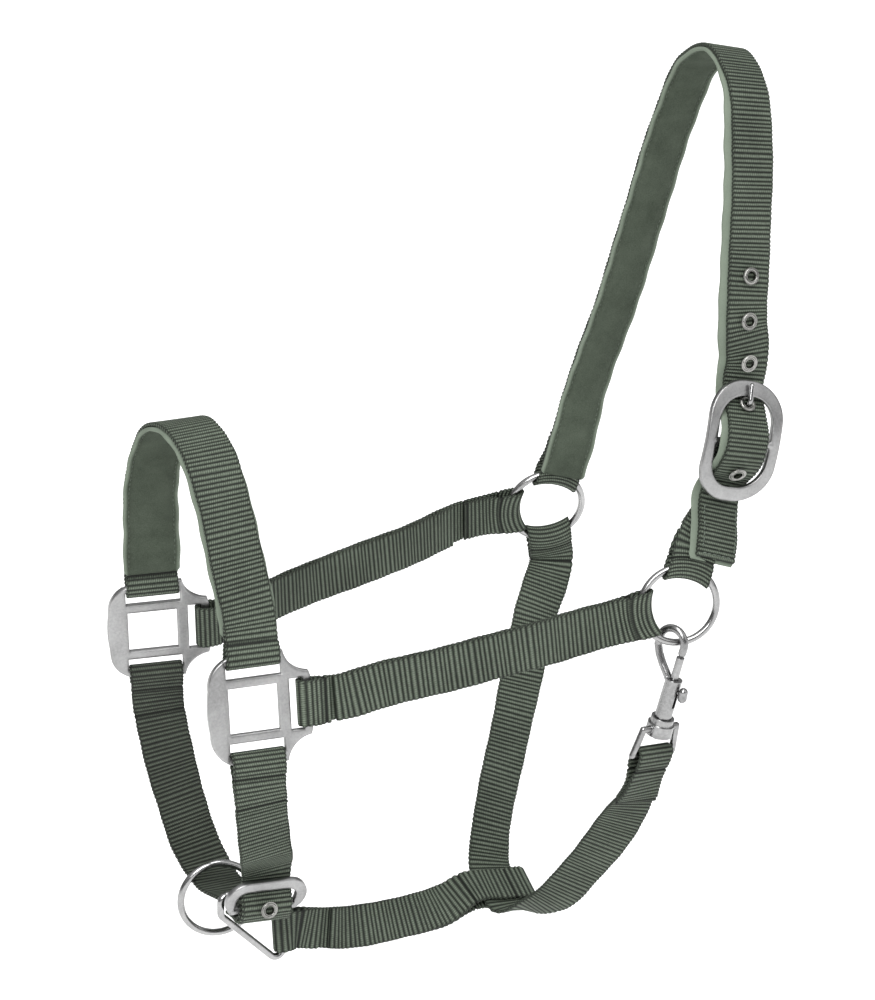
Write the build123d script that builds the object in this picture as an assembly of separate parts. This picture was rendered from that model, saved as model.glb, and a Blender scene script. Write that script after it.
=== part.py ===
"""Head halter for a horse: padded webbing straps joined by metal fittings.

Frame: millimetres, +Z up. The origin is the middle of the nose opening, on the mid plane between
the two square fittings. The nose points to -X, the poll to +X, and the near (buckle) side to -Y.
"""
from build123d import *
import os
from math import cos, pi, sin, sqrt

os.makedirs("parts", exist_ok=True)

# ---------------------------------------------------------------- driving dimensions
WEB = 25.4              # width of the crown, cheek, throat and jaw webbing
NOSE_WEB = 29.0         # width of the noseband and chin webbing
PLY = 2.2               # thickness of one layer of webbing
LAYER = 1.25            # half the spacing of two layers stitched together
PAD = 3.4               # thickness of the padding
PAD_GAP = 0.3           # space between webbing and padding
NOSE_PAD_WIDTH = 31.0
CROWN_PAD_WIDTH = 26.4

RING_R = 21.0           # cheek and chin rings, to the middle of the wire
WIRE_R = 2.0            # wire radius of the rings and the link
RING_FOLD = 16.3        # from a ring's middle to the axis of a strap fold on it
RING_FOLD_R = 3.7       # radius of that fold, to the middle of the webbing
BAR_FOLD_R = 4.1        # radius of a fold on a bar of a square fitting

BUCKLE_W = 45.0         # oval crown buckle, across and along the strap
BUCKLE_L = 66.0
CHIN_BUCKLE_W = 46.5
CHIN_BUCKLE_L = 24.5
BAR_R = 1.9             # buckle bar radius
TONGUE_R = 1.4
EYELET_R = 2.6          # eyelet hole
EYELET_FLANGE_R = 4.8
EYELET_PITCH = 24.0


def vec(values):
    return Vector(*values)


def turn_to(normal, across):
    """A right-handed frame: x along `across`, z along `normal`, both unit and square."""
    z = vec(normal).normalized()
    x = vec(across)
    x = (x - z * x.dot(z)).normalized()
    return x, z.cross(x), z


class Fitting:
    """A place for a fitting: its middle and its own x, y and z directions."""

    def __init__(self, middle, normal, across):
        self.middle = vec(middle)
        self.x, self.y, self.z = turn_to(normal, across)

    def at(self, x, y, z=0.0):
        return self.middle + self.x * x + self.y * y + self.z * z

    def put(self, shape):
        plane = Plane(origin=self.middle, x_dir=self.x, z_dir=self.z)
        return plane.location * shape


# ---------------------------------------------------------------- where the fittings are
# The squares' x runs back along the cheek strap, y up, z out of the near side.
NEAR_SQUARE = Fitting((0, -66, 2.5), (-0.141, -0.986, 0.093), (0.99, -0.139, 0.022))
OFF_SQUARE = Fitting((-4, 66, 0.5), (-0.25, -0.94, -0.2), (0.96, -0.27, 0.043))
NEAR_RING = Fitting((240.5, -83, 27), (-0.22, -0.97, 0.07), (0.97, -0.22, 0))
OFF_RING = Fitting((242.5, 83, 29), (-0.22, -0.945, -0.24), (0.974, -0.227, 0))
CHIN_RING = Fitting((14.5, 26, -147.5), (-0.14, -0.99, -0.03), (0.99, -0.14, 0))
JAW_LOOP = Fitting((177.5, 7, -165.5), (0.1, -0.4, 0.91), (-0.99, 0, 0.1))
JAW_WEB = 23.4          # width of the jaw webbing
LINK_Y = -10.0          # the jaw link hangs in this plane, square to Y
# The buckles' x runs along their bar, y up the strap and z out of the strap's outer face.
CROWN_BUCKLE = Fitting((279.5, -79, 112.5), (0.024, -0.994, 0.097), (0.97, 0, -0.24))
CHIN_BUCKLE = Fitting((12.8, -42, -124.5), (-0.027, -0.91, -0.379), (0.997, 0, -0.07))


def on_ring(ring, degrees, radius):
    """A point of the ring's plane, by angle from the ring's x and by radius."""
    angle = degrees * pi / 180
    return ring.at(radius * cos(angle), radius * sin(angle))


def ring_tangent(ring, degrees):
    angle = degrees * pi / 180
    return ring.x * -sin(angle) + ring.y * cos(angle)


# ---------------------------------------------------------------- webbing
def curve_through(points, gaps, steps):
    """Smooth points through hand-set vectors, `steps` to a span. gaps are the spans' lengths."""
    slopes = [(b - a) / gap for a, b, gap in zip(points, points[1:], gaps)]
    tangents = [slopes[0]]
    for i in range(1, len(slopes)):
        shared = slopes[i - 1] * gaps[i] + slopes[i] * gaps[i - 1]
        tangents.append(shared / (gaps[i - 1] + gaps[i]))
    tangents.append(slopes[-1])
    out = []
    for i, gap in enumerate(gaps):
        for k in range(steps):
            t = k / steps
            rise = t * t * (3 - 2 * t)
            leave = t * (1 - t) * (1 - t) * gap
            arrive = t * t * (t - 1) * gap
            out.append(points[i] * (1 - rise) + points[i + 1] * rise
                       + tangents[i] * leave + tangents[i + 1] * arrive)
    return out + [points[-1]]


class Station:
    """One place on a strap: its middle, and the directions along, across and outward."""

    def __init__(self, middle, along, across):
        self.middle = middle
        self.along = along.normalized()
        self.across = (across - self.along * across.dot(self.along)).normalized()
        self.out = self.along.cross(self.across)
        self.run = 0.0


def route(stations, steps=2):
    """Stations along a strap from hand-set (middle, across) pairs."""
    places = [vec(middle) for middle, _ in stations]
    gaps = [(b - a).length for a, b in zip(places, places[1:])]
    middles = curve_through(places, gaps, steps)
    across = curve_through([vec(a).normalized() for _, a in stations], gaps, steps)
    result = []
    for i, middle in enumerate(middles):
        before, after = middles[max(i - 1, 0)], middles[min(i + 1, len(middles) - 1)]
        result.append(Station(middle, after - before, across[i]))
    for i in range(1, len(result)):
        step = (result[i].middle - result[i - 1].middle).length
        result[i].run = result[i - 1].run + step
    return refine(result)


def between(stations, run):
    """The station at a distance along a strap, by interpolation."""
    for a, b in zip(stations, stations[1:]):
        if a.run <= run <= b.run:
            t = (run - a.run) / (b.run - a.run)
            along = a.along + (b.along - a.along) * t
            across = a.across + (b.across - a.across) * t
            station = Station(a.middle + (b.middle - a.middle) * t, along, across)
            station.run = run
            return station
    raise ValueError(run)


def refine(stations, from_ends=(1.5, 4.0, 8.0, 12.0)):
    """Add stations near both ends, where the layers part to go round a fold."""
    length = stations[-1].run
    extra = [between(stations, d) for d in from_ends]
    extra += [between(stations, length - d) for d in from_ends]
    return sorted(stations + extra, key=lambda s: s.run)


def ease(t):
    """0 to 1, smoothly, held at the ends."""
    t = min(max(t, 0.0), 1.0)
    return t * t * (3 - 2 * t)


def stand_off(stations, run, start, end, doubled):
    """How far a layer stands from the strap's middle line at a distance along it.

    start and end are (fold radius, straight length beside the fold) or None. doubled is the
    length at each end where a second layer lies beside this one.
    """
    rest = stations[-1].run - run
    second = max(ease((doubled[0] + 12 - run) / 12), ease((doubled[1] + 12 - rest) / 12))
    offset = LAYER * second
    if start:
        offset = max(offset, start[0] + (LAYER - start[0]) * ease((run - start[1]) / 15))
    if end:
        offset = max(offset, end[0] + (LAYER - end[0]) * ease((rest - end[1]) / 15))
    return offset


def layer(stations, side, start=None, end=None, doubled=(0, 0)):
    """Path points of one layer: side is +1 on the outward side, -1 on the inward side."""
    points = []
    for s in stations:
        offset = stand_off(stations, s.run, start, end, doubled)
        points.append((s.middle + s.out * (side * offset), s.out * side, s.across))
    return points


def fold(station, radius, side, towards, arcs=6):
    """Path points of the half turn from the `side` layer to the other one."""
    points = []
    for k in range(1, arcs):
        angle = pi * k / arcs
        out = station.out * (side * cos(angle)) + station.along * (towards * sin(angle))
        points.append((station.middle + out * radius, out, station.across))
    return points


def ribbon(path, width, thickness=PLY):
    """A closed solid of flat webbing along (middle, outward, across) path points."""
    sections = []
    for middle, out, across in path:
        half, depth = across * (width / 2), out * (thickness / 2)
        corners = [middle + half + depth, middle - half + depth,
                   middle - half - depth, middle + half - depth]
        sections.append(Wire.make_polygon(corners, close=True))
    return Solid.make_loft(sections, ruled=True)


def folded_strap(stations, width, start, end, tail_start, tail_end):
    """A strap folded back at both ends. The inward layer runs the whole length.

    tail_start and tail_end are the lengths of the outward layer beside each fold.
    """
    length = stations[-1].run
    doubled = (tail_start, tail_end)
    outer = layer(stations, 1, start, end, doubled)
    inner = layer(stations, -1, start, end, doubled)
    head = [p for p, s in zip(outer, stations) if s.run <= tail_start]
    foot = [p for p, s in zip(outer, stations) if s.run >= length - tail_end]
    path = list(reversed(head))
    path += fold(stations[0], start[0], 1, -1)
    path += inner
    path += fold(stations[-1], end[0], -1, 1)
    path += list(reversed(foot))
    return ribbon(path, width)


def strap_with_hole(strap, place, radius=EYELET_R + 0.4):
    """Cut a round hole for an eyelet through one layer."""
    return strap - place.put(Cylinder(radius, 3.0 * PLY))


# ---------------------------------------------------------------- bolt snap's place
SNAP_AXIS = Vector(0.2, -0.15, 0.968).normalized()
SNAP_SIDE = Vector(0.467, -0.855, -0.229)
HOOK_R = 7.8            # hook bend, to the middle of its wire
HOOK_WIRE_R = 2.2
HOOK_MIDDLE = 64.5      # up the snap from its eye bar to the middle of the hook bend
HOOK_OFFSET = -7.6
HOOK_TIP = 61.4
BARREL_R = 4.7
BARREL = (22.5, 45.6)
BORE_FLOOR = 26.0
BOLT_R = 2.2
BOLT_TOP = 58.7
KNOB_AT = 39.2
RIVET_R = 1.7

ring_wire = on_ring(NEAR_RING, 260, RING_R)
snap_foot = ring_wire - SNAP_AXIS * HOOK_MIDDLE - SNAP_SIDE * HOOK_OFFSET
# x across the hook, y up the snap, z square to the hook
snap_z = SNAP_SIDE.cross(SNAP_AXIS)
SNAP = Fitting(snap_foot, snap_z, SNAP_SIDE)
# The swivel eye faces the throat strap: x along its strap bar, y up the snap.
EYE = Fitting(snap_foot, Vector(0.955, 0.28, -0.16).cross(SNAP_AXIS), (0.955, 0.28, -0.16))


def place_on(stations, run):
    """A fitting's place on a strap, at a distance along it."""
    station = between(stations, run)
    return Fitting(station.middle, station.out, station.across)


def length_at(stations, point):
    """Distance along a strap to the station nearest a point."""
    return min(stations, key=lambda s: (s.middle - point).length).run


# ---------------------------------------------------------------- strap routes
RING_END = (RING_FOLD_R, 6.0)
BAR_END = (BAR_FOLD_R, 2.0)
BUCKLE_END = (BAR_R + 0.3 + PLY / 2, 1.0)
LOOP_END = (3.4, 31.0)
OUTER_BAR = 27.8        # from a square's middle to the bar that a strap folds round


def ring_end(ring, degrees, across_sign, reach=18.0):
    """Stations of a strap end that leaves a ring square to its wire, in the ring's plane."""
    across = ring_tangent(ring, degrees) * across_sign
    radii = (RING_FOLD, RING_FOLD + reach / 2, RING_FOLD + reach)
    return [(on_ring(ring, degrees, radius), across) for radius in radii]


near_cheek = route([
    (NEAR_SQUARE.at(OUTER_BAR, 0), NEAR_SQUARE.y),
    (NEAR_SQUARE.at(OUTER_BAR + 7, 0), NEAR_SQUARE.y),
    (NEAR_SQUARE.at(OUTER_BAR + 15, 0), NEAR_SQUARE.y),
    ((70, -76, 8), (0, 0.08, 1)),
    ((107, -79, 12), (-0.05, 0.08, 1)),
    ((152, -81, 17), (-0.12, 0.1, 1)),
] + ring_end(NEAR_RING, 191, -1)[::-1])
off_cheek = route([
    (OFF_SQUARE.at(OUTER_BAR, 0), OFF_SQUARE.y),
    (OFF_SQUARE.at(OUTER_BAR + 7, 0), OFF_SQUARE.y),
    (OFF_SQUARE.at(OUTER_BAR + 14, 0), OFF_SQUARE.y),
    ((66, 65, 7), (-0.06, -0.15, 1)),
    ((90, 71, 10), (-0.08, -0.1, 1)),
    ((149, 79.5, 18), (-0.12, -0.1, 1)),
] + ring_end(OFF_RING, 186, -1)[::-1])
noseband = route([
    (OFF_SQUARE.at(0, OUTER_BAR), OFF_SQUARE.x),
    (OFF_SQUARE.at(0, OUTER_BAR + 7), OFF_SQUARE.x),
    (OFF_SQUARE.at(0, OUTER_BAR + 14), OFF_SQUARE.x),
    ((-9, 55, 64), (0.99, -0.12, -0.03)),
    ((-11, 49.5, 88), (0.99, -0.03, -0.06)),
    ((-11, 40, 112), (0.99, 0, -0.07)),
    ((-10, 23, 132), (0.99, 0, -0.04)),
    ((-9, 0, 139.5), (1, 0, 0.03)),
    ((-8, -25, 132.5), (1, 0, 0.03)),
    ((-7, -43, 112), (1, -0.03, 0)),
    ((-4.5, -54, 82), (0.99, -0.08, 0)),
    (NEAR_SQUARE.at(0, OUTER_BAR + 15), NEAR_SQUARE.x),
    (NEAR_SQUARE.at(0, OUTER_BAR + 7), NEAR_SQUARE.x),
    (NEAR_SQUARE.at(0, OUTER_BAR), NEAR_SQUARE.x),
])
off_chin = route([
    (OFF_SQUARE.at(0, -OUTER_BAR), -OFF_SQUARE.x),
    (OFF_SQUARE.at(0, -OUTER_BAR - 7), -OFF_SQUARE.x),
    (OFF_SQUARE.at(0, -OUTER_BAR - 14), -OFF_SQUARE.x),
    ((4, 68, -79), (-0.99, 0.05, 0)),
    ((8, 62, -103), (-0.99, 0, 0.02)),
    ((12, 53, -125), (-0.99, 0, 0.05)),
    ((14.5, 40, -136), (-0.99, 0, 0.08)),
    ((15.5, 26, -140), (-0.99, 0, 0.08)),
    ((18.5, 8, -141.5), (-0.97, 0, 0.22)),
    ((20, -10, -140.5), (-0.95, 0, 0.32)),
    (CHIN_BUCKLE.at(2.5, -12.5, -10.5), (-0.98, 0, 0.18)),
    (CHIN_BUCKLE.at(0.5, -6, -4.0), -CHIN_BUCKLE.x),
    (CHIN_BUCKLE.middle, -CHIN_BUCKLE.x),
])
near_chin = route([
    (NEAR_SQUARE.at(0, -OUTER_BAR), NEAR_SQUARE.x),
    (NEAR_SQUARE.at(0, -OUTER_BAR - 7), NEAR_SQUARE.x),
    (NEAR_SQUARE.at(0, -OUTER_BAR - 14), NEAR_SQUARE.x),
    ((4, -66, -66), (1, -0.05, -0.02)),
    ((8, -60, -86), (1, 0, -0.05)),
    (CHIN_BUCKLE.at(0, 21, -4.8), CHIN_BUCKLE.x),
    (CHIN_BUCKLE.at(0, 14, -2.0), CHIN_BUCKLE.x),
    (CHIN_BUCKLE.at(0, 9.5, 2.8), CHIN_BUCKLE.x),
    (CHIN_BUCKLE.at(0, 5, 6.0), CHIN_BUCKLE.x),
    (CHIN_BUCKLE.at(0, 0.5, 6.8), CHIN_BUCKLE.x),
    (CHIN_BUCKLE.at(0.3, -4.8, 5.4), CHIN_BUCKLE.x),
    (CHIN_BUCKLE.at(1.0, -9.6, 0.8), CHIN_BUCKLE.x),
    (CHIN_BUCKLE.at(2.6, -16.2, -8.0), (0.99, 0, -0.15)),
    (CHIN_BUCKLE.at(3.8, -23.0, -17.2), (0.98, 0, -0.18)),
])
throat = route(ring_end(OFF_RING, 279, -1) + [
    ((232, 77, -38), (-0.93, 0.3, 0.24)),
    ((219, 67.5, -71), (-0.92, 0.2, 0.32)),
    ((205, 55, -101), (-0.93, 0.1, 0.36)),
    ((191, 42, -129), (-0.94, 0, 0.32)),
    ((183, 32, -146), (-0.96, 0, 0.25)),
    (JAW_LOOP.at(0, -16), JAW_LOOP.x),
    (JAW_LOOP.middle, JAW_LOOP.x),
    (JAW_LOOP.at(0, 16), JAW_LOOP.x),
    ((191, -24.5, -165), (-0.93, 0.1, 0.34)),
    ((206, -41, -140), (-0.92, 0.2, 0.36)),
    ((219, -59, -107), (-0.93, 0.2, 0.34)),
    (EYE.at(0, -15), -EYE.x),
    (EYE.at(0, -7), -EYE.x),
    (EYE.middle, -EYE.x),
])
jaw = route([
    ((36.7, LINK_Y, -156.5), (-0.078, 0, 1)),
    ((43.2, LINK_Y, -156.2), (-0.078, 0, 1)),
    ((57, -8.6, -159.5), (0, 0.15, 1)),
    ((80, -4, -165.5), (0, 0.35, 0.94)),
    ((113, 1, -168.5), (0.02, 0.5, 0.87)),
    ((141, 5.5, -168.5), (0.06, 0.75, 0.66)),
    (JAW_LOOP.at(18, 0), -JAW_LOOP.y),
    (JAW_LOOP.middle, -JAW_LOOP.y),
    (JAW_LOOP.at(-15.5, 0), -JAW_LOOP.y),
])
crown = route(ring_end(OFF_RING, 74, -1) + [
    ((264.5, 81, 97), (0.97, 0, -0.24)),
    ((278.5, 71, 150), (0.97, 0, -0.24)),
    ((291, 59.5, 210), (0.97, 0, -0.24)),
    ((300.5, 46.5, 262), (0.97, 0, -0.24)),
    ((306, 28, 297), (0.97, 0, -0.24)),
    ((308, 0, 309.5), (0.97, 0, -0.24)),
    ((306, -28, 296), (0.97, 0, -0.24)),
    ((300.5, -46, 262), (0.97, 0, -0.24)),
    ((293.5, -58, 214), (0.97, 0, -0.24)),
    ((287.5, -67.5, 176), (0.97, 0, -0.24)),
    (CROWN_BUCKLE.at(-0.5, 42, -8.6), CROWN_BUCKLE.x),
    (CROWN_BUCKLE.at(0, 31, -9.4), CROWN_BUCKLE.x),
    (CROWN_BUCKLE.at(0, 25.5, -8.0), CROWN_BUCKLE.x),
    (CROWN_BUCKLE.at(0, 20, -3.6), CROWN_BUCKLE.x),
    (CROWN_BUCKLE.at(0, 13, 2.2), CROWN_BUCKLE.x),
    (CROWN_BUCKLE.at(0, 6, 6.0), CROWN_BUCKLE.x),
    (CROWN_BUCKLE.at(0, 0, 6.8), CROWN_BUCKLE.x),
    (CROWN_BUCKLE.at(0, -8, 5.4), CROWN_BUCKLE.x),
    (CROWN_BUCKLE.at(0, -16.5, 0.2), CROWN_BUCKLE.x),
    (CROWN_BUCKLE.at(-0.8, -23.5, -6.6), (0.96, 0, -0.27)),
    (CROWN_BUCKLE.at(-1.6, -32, -9.2), (0.955, 0, -0.29)),
    (CROWN_BUCKLE.at(-2.4, -40, -6.4), (0.95, 0, -0.31)),
    (CROWN_BUCKLE.at(-3.6, -50, -0.6), (0.94, 0, -0.34)),
    (CROWN_BUCKLE.at(-5.4, -66, 5.0), (0.93, 0, -0.37)),
])
buckle_strap = route(ring_end(NEAR_RING, 74, -1, 15.0) + [
    (CROWN_BUCKLE.at(-2.6, -41, -12.0), (0.94, 0, -0.33)),
    (CROWN_BUCKLE.at(-0.8, -29, -14.0), (0.955, 0, -0.29)),
    (CROWN_BUCKLE.at(0, -16, -9.6), CROWN_BUCKLE.x),
    (CROWN_BUCKLE.middle, CROWN_BUCKLE.x),
])


# ---------------------------------------------------------------- webbing nodes
CROWN_TAIL = 30         # second layer of the crown strap beside the off ring
CHIN_TAIL = 28          # second layer of the near chin strap beside the square
NOSE_TUCK = 20          # end of the noseband that is tucked inside it at each square
TUCK_EASE = 14          # length over which its pad comes back out to the webbing
NEAR_CHEEK_TAIL = 13    # the cheek straps are double but for a short lap
OFF_CHEEK_TAIL = 34
CHEEK_LAP = (2, 6)      # left open between the two ends of the near and off outer layers


def cheek_straps():
    near_rest = near_cheek[-1].run - NEAR_CHEEK_TAIL - CHEEK_LAP[0]
    near = folded_strap(near_cheek, WEB, BAR_END, RING_END, NEAR_CHEEK_TAIL, near_rest)
    off_rest = off_cheek[-1].run - OFF_CHEEK_TAIL - CHEEK_LAP[1]
    off = folded_strap(off_cheek, WEB, BAR_END, RING_END, off_rest, OFF_CHEEK_TAIL)
    return near, off


def noseband_strap():
    """Outward layer the whole way, with a short end tucked inside at each square."""
    doubled = (NOSE_TUCK, NOSE_TUCK)
    inner = layer(noseband, -1, BAR_END, BAR_END, doubled)
    outer = layer(noseband, 1, BAR_END, BAR_END, doubled)
    length = noseband[-1].run
    head = [p for p, s in zip(inner, noseband) if s.run <= doubled[0]]
    foot = [p for p, s in zip(inner, noseband) if s.run >= length - doubled[1]]
    path = list(reversed(head)) + fold(noseband[0], BAR_FOLD_R, -1, -1)
    path += outer + fold(noseband[-1], BAR_FOLD_R, 1, 1) + list(reversed(foot))
    return ribbon(path, NOSE_WEB)


def padding(stations, width, low, high, start, end, doubled, tucked=None):
    """A flat pad along the inward side of a strap, clear of the webbing's innermost layer.

    tucked is for a strap whose outward layer is the one that runs through: it is how far the
    short inward layers reach from the ends, and past it the pad lies on the outward layer.
    """
    path = []
    for s in stations:
        if low <= s.run <= high:
            offset = stand_off(stations, s.run, start, end, doubled)
            if tucked:
                from_end = min(s.run, stations[-1].run - s.run)
                offset *= 1 - 2 * ease((from_end - tucked) / TUCK_EASE)
            depth = offset + PLY / 2 + PAD_GAP + PAD / 2
            path.append((s.middle - s.out * depth, s.out, s.across))
    return ribbon(path, width, PAD)


def crown_strap():
    """Padded strap over the poll, from the off ring through the buckle to its free end."""
    doubled = (CROWN_TAIL, -12)
    inner = layer(crown, -1, RING_END, None, doubled)
    outer = layer(crown, 1, RING_END, None, doubled)
    head = [p for p, s in zip(outer, crown) if s.run <= CROWN_TAIL]
    path = list(reversed(head)) + fold(crown[0], RING_FOLD_R, 1, -1) + inner
    return ribbon(path, WEB)


def near_chin_strap():
    """Adjustable chin strap: folded on the near square, through the buckle, free end under."""
    doubled = (CHIN_TAIL, -12)
    outer = layer(near_chin, 1, BAR_END, None, doubled)
    inner = layer(near_chin, -1, BAR_END, None, doubled)
    head = [p for p, s in zip(outer, near_chin) if s.run <= CHIN_TAIL]
    path = list(reversed(head)) + fold(near_chin[0], BAR_FOLD_R, 1, -1) + inner
    return ribbon(path, NOSE_WEB)


# ---------------------------------------------------------------- metal fittings
def square_fitting(side):
    """Cast square with three strap slots and a broad curved front, in its own frame.

    side is +1 where the domed face looks along the fitting's z, -1 where it looks the other way.
    """
    tip, wing, corner = (16.2, 30.4), (29.6, 17.4), (30.4, 14.6)
    below = [(x, -y) for x, y in (tip, wing, corner)]
    plate = make_face([
        Line((-12, 29.9), tip),
        ThreePointArc(tip, (20.4, 22.0), wing),
        Line(wing, corner),
        Line(corner, below[2]),
        Line(below[2], below[1]),
        ThreePointArc(below[1], (20.4, -22.0), below[0]),
        Line(below[0], (-12, -29.9)),
        Line((-12, -29.9), (-12, 29.9)),
    ])
    front = make_face([
        ThreePointArc((-10, 30), (-20.5, 24.5), (-24.6, 12)),
        ThreePointArc((-24.6, 12), (-25.6, 0), (-24.6, -12)),
        ThreePointArc((-24.6, -12), (-20.5, -24.5), (-10, -30)),
        Line((-10, -30), (-10, 30)),
    ])
    window = Pos(-0.7, 0) * Rectangle(27, 25.4)
    across_slots = Pos(0, 21.4) * Rectangle(NOSE_WEB + 0.8, 8)
    across_slots += Pos(0, -21.4) * Rectangle(NOSE_WEB + 0.8, 8)
    back_slot = Pos(22.6, 0) * Rectangle(7.6, WEB + 3)
    outline = plate + front - window - across_slots - back_slot
    body = extrude(outline, amount=1.5, both=True)
    dome = extrude(front - Pos(-6, 0) * Rectangle(20, 62), amount=0.6)
    body += Pos(0, 0, 1.5 if side > 0 else -2.1) * dome
    return body


def ring(place):
    return place.put(Torus(RING_R, WIRE_R))


def jaw_link():
    """Closed wire link: the chin webbing passes through it and the jaw strap folds on it."""
    corners = [(1.5, LINK_Y, -128), (35.3, LINK_Y, -137.5), (38.5, LINK_Y, -178),
               (1.5, LINK_Y, -140.5)]
    path = FilletPolyline(*corners, radius=4.0, close=True)
    start = Plane(origin=path @ 0, z_dir=path % 0)
    return sweep(start * Circle(WIRE_R), path=path)


def oval(width, length, corner):
    return RectangleRounded(width, length, corner)


def crown_buckle_frame():
    """Domed oval frame with a round bar across its middle."""
    dome_radius = 95.0
    band = oval(BUCKLE_W, BUCKLE_L, 20.5) - oval(BUCKLE_W - 11.5, BUCKLE_L - 16, 14.5)
    blank = extrude(band, amount=8, both=True)
    shell = Cylinder(dome_radius, BUCKLE_W + 4) - Cylinder(dome_radius - 3.0, BUCKLE_W + 6)
    shell = Pos(0, 0, 1.5 - dome_radius) * (Rot(0, 90, 0) * shell)
    bar = Rot(0, 90, 0) * Cylinder(BAR_R, BUCKLE_W - 8)
    return (blank & shell) + bar


def chin_buckle_frame():
    """Rounded D frame whose straight lower bar carries the strap."""
    window_width = CHIN_BUCKLE_W - 12
    outer = Pos(0, CHIN_BUCKLE_L / 2 - 4) * oval(CHIN_BUCKLE_W, CHIN_BUCKLE_L, 12)
    inner = Pos(0, 7.2) * oval(window_width, CHIN_BUCKLE_L - 10.5, 6)
    slot = Pos(0, -1.0) * Rectangle(window_width, 10)
    frame = extrude(outer - inner - slot, amount=1.4, both=True)
    keep = Pos(0, 13.5) * Box(60, 30, 10)
    bar = Rot(0, 90, 0) * Cylinder(BAR_R, CHIN_BUCKLE_W - 8)
    return (frame & keep) + bar


def tongue(points):
    """Wire tongue: an eye round the bar, and a pin through (y, z) points of the buckle's frame."""
    eye = Rot(0, 90, 0) * (Cylinder(BAR_R + 2.1, 3.2) - Cylinder(BAR_R + 0.25, 4))
    path = FilletPolyline(*[(0, y, z) for y, z in points], radius=2.5)
    start = Plane(origin=path @ 0, z_dir=path % 0)
    tip_y, tip_z = points[-1]
    return eye + sweep(start * Circle(TONGUE_R), path=path) + Pos(0, tip_y, tip_z) * Sphere(TONGUE_R)


def eyelet():
    """Rolled brass-type eyelet through one layer of webbing, in its own frame."""
    half = PLY / 2 + 0.35
    sleeve = Cylinder(EYELET_R + 0.35, 2 * half + 1.4) - Cylinder(EYELET_R, PLY + 4)
    rim = Torus(EYELET_R + 1.0, 0.7) + Cylinder(EYELET_FLANGE_R, 0.5) - Cylinder(EYELET_R, 4)
    back = Cylinder(EYELET_FLANGE_R, 0.5) - Cylinder(EYELET_R, 2)
    return sleeve + Pos(0, 0, half + 0.1) * rim + Pos(0, 0, -half) * back


# ---------------------------------------------------------------- bolt snap of the throat strap
def upright(shape, x, low, high):
    """Stand a shape made along z on the snap's y axis, from `low` to `high`."""
    return Pos(x, (low + high) / 2, 0) * (Rot(90, 0, 0) * shape)


def rod(radius, x, low, high):
    return upright(Cylinder(radius, high - low), x, low, high)


def snap_body():
    """Barrel and hook cast in one, bored for the bolt, with a slot for its thumb knob."""
    stem_x = HOOK_OFFSET - HOOK_R
    tip_x = HOOK_OFFSET + HOOK_R
    runs = [(-2.4, 43.0), (-5.4, 46.6), (-9.4, 50.6), (-13.0, 55.2), (stem_x, 60.0),
            (stem_x, HOOK_MIDDLE)]
    seat = (Align.CENTER, Align.MIN, Align.CENTER)
    half_turn = Torus(HOOK_R, HOOK_WIRE_R, major_angle=180, align=seat)
    body = rod(BARREL_R, 0, *BARREL) + Pos(HOOK_OFFSET, HOOK_MIDDLE, 0) * half_turn
    for a, b in zip(runs, runs[1:]):
        body += strut(a, b)
    body += strut((tip_x, HOOK_MIDDLE), (tip_x, HOOK_TIP))
    body -= rod(BOLT_R + 0.25, 0, BORE_FLOOR, BOLT_TOP)
    body -= rod(RIVET_R + 0.05, 0, BARREL[0] - 1, BORE_FLOOR + 1)
    slot_low = KNOB_AT - 9.5
    slot_high = KNOB_AT + 1.6
    slot = Pos(4, (slot_low + slot_high) / 2, 0) * Box(6, slot_high - slot_low, 3.0)
    return body - slot


def strut(a, b, radius=HOOK_WIRE_R):
    """A round bar with ball ends between two points of the snap's plane."""
    length = sqrt((b[0] - a[0]) ** 2 + (b[1] - a[1]) ** 2)
    start = Plane(origin=(a[0], a[1], 0), z_dir=(b[0] - a[0], b[1] - a[1], 0))
    bar = start * Cylinder(radius, length, align=(Align.CENTER, Align.CENTER, Align.MIN))
    return bar + Pos(a[0], a[1], 0) * Sphere(radius) + Pos(b[0], b[1], 0) * Sphere(radius)


def snap_bolt():
    """Sliding bolt with the thumb knob that stands out of the barrel's slot."""
    bolt = rod(BOLT_R, 0, KNOB_AT - 2, BOLT_TOP)
    neck = Pos(4, KNOB_AT, 0) * (Rot(0, 90, 0) * Cylinder(1.1, 6))
    knob_x = 8.0
    knob = strut((knob_x, KNOB_AT - 1.8), (knob_x - 0.4, KNOB_AT + 1.8), 2.5)
    return bolt + neck + knob


def snap_spring():
    """Return spring below the bolt, drawn as the sleeve that its coils fill."""
    low, high = BORE_FLOOR + 0.3, KNOB_AT - 2.3
    return rod(BOLT_R, 0, low, high) - rod(BOLT_R - 1.0, 0, low - 1, high + 1)


def snap_swivel():
    """Swivel eye: wire eye for the strap, and the stepped cup that the barrel turns on."""
    half = WEB / 2 + 2.4
    shoulder = (half - 2.6, 15.6)
    corners = [(-5, 15.4), (-shoulder[0], shoulder[1]), (-half, 0), (half, 0), shoulder, (5, 15.4)]
    eye = rod(7.4, 0, 11.8, 18.6) + rod(6.4, 0, 18.6, BARREL[0] - 0.2)
    for a, b in zip(corners, corners[1:]):
        eye += strut(a, b, 1.9)
    return eye - rod(RIVET_R + 0.05, 0, 10, 24)


def snap_rivet():
    """Headed pin that holds the barrel on the swivel eye."""
    return rod(RIVET_R, 0, 11.0, BORE_FLOOR - 0.1) + rod(3.2, 0, 9.8, 11.7)


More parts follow.
